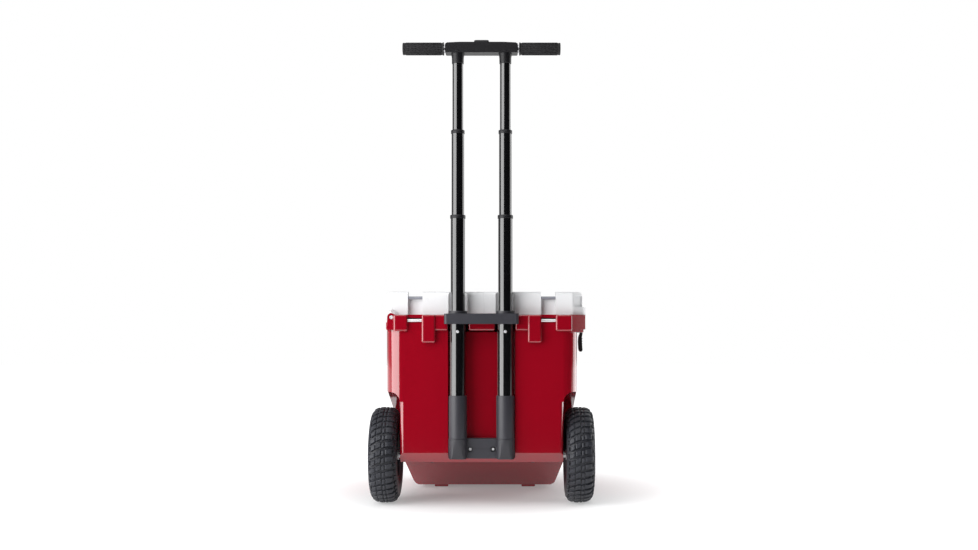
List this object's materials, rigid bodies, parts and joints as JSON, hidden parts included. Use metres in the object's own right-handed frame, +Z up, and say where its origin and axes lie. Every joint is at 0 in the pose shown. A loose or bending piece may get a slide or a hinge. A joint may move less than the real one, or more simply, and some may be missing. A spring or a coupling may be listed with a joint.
{
  "type": "wheeled hard cooler",
  "caption": "Foam-filled hard cooler with a hinged lid, all-terrain wheels at one end and a telescoping pull handle with a cross grip.",
  "frame": {"origin": "on the floor, under the centre of the cooler's overall box", "axes": "+Z up along the raised handle, +X towards the latch side, -Y towards the wheels and the pull handle"},
  "size_m": [0.5294, 0.654, 1.0784],
  "materials": {
    "red_plastic": "satin-gloss red rotomoulded polyethylene",
    "white_plastic": "satin white rotomoulded polyethylene",
    "grey_plastic": "fine-textured dark grey moulded plastic",
    "black_rubber": "matte black moulded rubber",
    "tyre_rubber": "matte charcoal tyre rubber",
    "black_tube": "gloss black coated tube",
    "bright_steel": "bright zinc-plated steel",
    "satin_aluminium": "satin bare aluminium bar",
    "satin_grey": "satin light grey plastic",
    "foam": "closed-cell insulating foam"
  },
  "bodies": {
    "cooler": {"tub_shell": "red_plastic", "tub_foam": "foam", "hinge_rod": "bright_steel", "axle": "bright_steel", "handle_base": "grey_plastic", "handle_clamp": "grey_plastic", "drain_fitting": "grey_plastic", "body_tie_rod_left": "bright_steel", "body_tie_rod_right": "bright_steel", "axle_strap_left": "bright_steel", "axle_strap_right": "bright_steel", "axle_washer_left": "bright_steel", "axle_washer_right": "bright_steel", "axle_cap_left": "grey_plastic", "axle_cap_right": "grey_plastic", "base_screw_left": "bright_steel", "base_screw_right": "bright_steel", "socket_sleeve_left": "grey_plastic", "socket_sleeve_right": "grey_plastic", "fixed_tube_left": "black_tube", "fixed_tube_right": "black_tube", "tube_screw_left": "bright_steel", "tube_screw_right": "bright_steel", "strap_screw_left_front": "bright_steel", "strap_screw_left_rear": "bright_steel", "strap_screw_right_front": "bright_steel", "strap_screw_right_rear": "bright_steel"},
    "lid": {"lid_shell": "white_plastic", "lid_foam": "foam", "lid_plug": "white_plastic", "lid_gasket": "black_rubber", "lid_tie_bar_left": "satin_grey", "lid_tie_bar_right": "satin_grey", "latch_pin_near": "bright_steel", "latch_pin_far": "bright_steel"},
    "near_latch": {"latch_near": "black_rubber"},
    "far_latch": {"latch_far": "black_rubber"},
    "left_wheel": {"tyre_left": "tyre_rubber", "wheel_rim_left": "grey_plastic", "wheel_bush_left": "satin_grey"},
    "right_wheel": {"tyre_right": "tyre_rubber", "wheel_rim_right": "grey_plastic", "wheel_bush_right": "satin_grey"},
    "lower_stage": {"stage1_tube_left": "black_tube", "stage1_tube_right": "black_tube"},
    "middle_stage": {"stage2_tube_left": "black_tube", "stage2_tube_right": "black_tube"},
    "pull_bar": {"stage3_tube_left": "black_tube", "stage3_tube_right": "black_tube", "tube_collar_left": "grey_plastic", "tube_collar_right": "grey_plastic", "handlebar_left": "satin_aluminium", "handlebar_right": "satin_aluminium", "grip_left": "black_rubber", "grip_right": "black_rubber", "grip_housing": "grey_plastic", "button_spring": "bright_steel"},
    "button": {"release_button": "black_rubber"},
    "carry_bar": {"carry_handle": "black_tube"},
    "plug": {"drain_plug": "black_rubber"}
  },
  "joints": [
    {"name": "lid_hinge", "type": "hinge", "parent": "cooler", "child": "lid", "pos_m": [-0.2093, 0, 0.4418], "axis": [0, -1, 0], "range_deg": [0, 95]},
    {"name": "near_latch_pivot", "type": "hinge", "parent": "lid", "child": "near_latch", "pos_m": [0.2265, -0.165, 0.4795], "axis": [0, -1, 0], "range_deg": [0, 100]},
    {"name": "far_latch_pivot", "type": "hinge", "parent": "lid", "child": "far_latch", "pos_m": [0.2265, 0.165, 0.4795], "axis": [0, -1, 0], "range_deg": [0, 100]},
    {"name": "left_wheel_spin", "type": "hinge", "parent": "cooler", "child": "left_wheel", "pos_m": [-0.2309, -0.21, 0.1143], "axis": [1, 0, 0], "continuous": true},
    {"name": "right_wheel_spin", "type": "hinge", "parent": "cooler", "child": "right_wheel", "pos_m": [0.2309, -0.21, 0.1143], "axis": [1, 0, 0], "continuous": true},
    {"name": "lower_stage_slide", "type": "slide", "parent": "cooler", "child": "lower_stage", "axis": [0, 0, 1], "range_m": [-0.205, 0]},
    {"name": "middle_stage_slide", "type": "slide", "parent": "lower_stage", "child": "middle_stage", "axis": [0, 0, 1], "range_m": [-0.18, 0]},
    {"name": "pull_bar_slide", "type": "slide", "parent": "middle_stage", "child": "pull_bar", "axis": [0, 0, 1], "range_m": [-0.145, 0]},
    {"name": "button_press", "type": "slide", "parent": "pull_bar", "child": "button", "axis": [0, 0, 1], "range_m": [-0.004, 0], "stiffness_N_per_m": 400, "springref_m": 0.002, "deforming": ["button_spring"]},
    {"name": "carry_bar_swing", "type": "hinge", "parent": "cooler", "child": "carry_bar", "pos_m": [0, 0.3145, 0.43], "axis": [1, 0, 0], "range_deg": [0, 100]},
    {"name": "drain_plug_turn", "type": "hinge", "parent": "cooler", "child": "plug", "pos_m": [0, 0.3, 0.074], "axis": [0, 1, 0], "range_deg": [0, 90]}
  ]
}
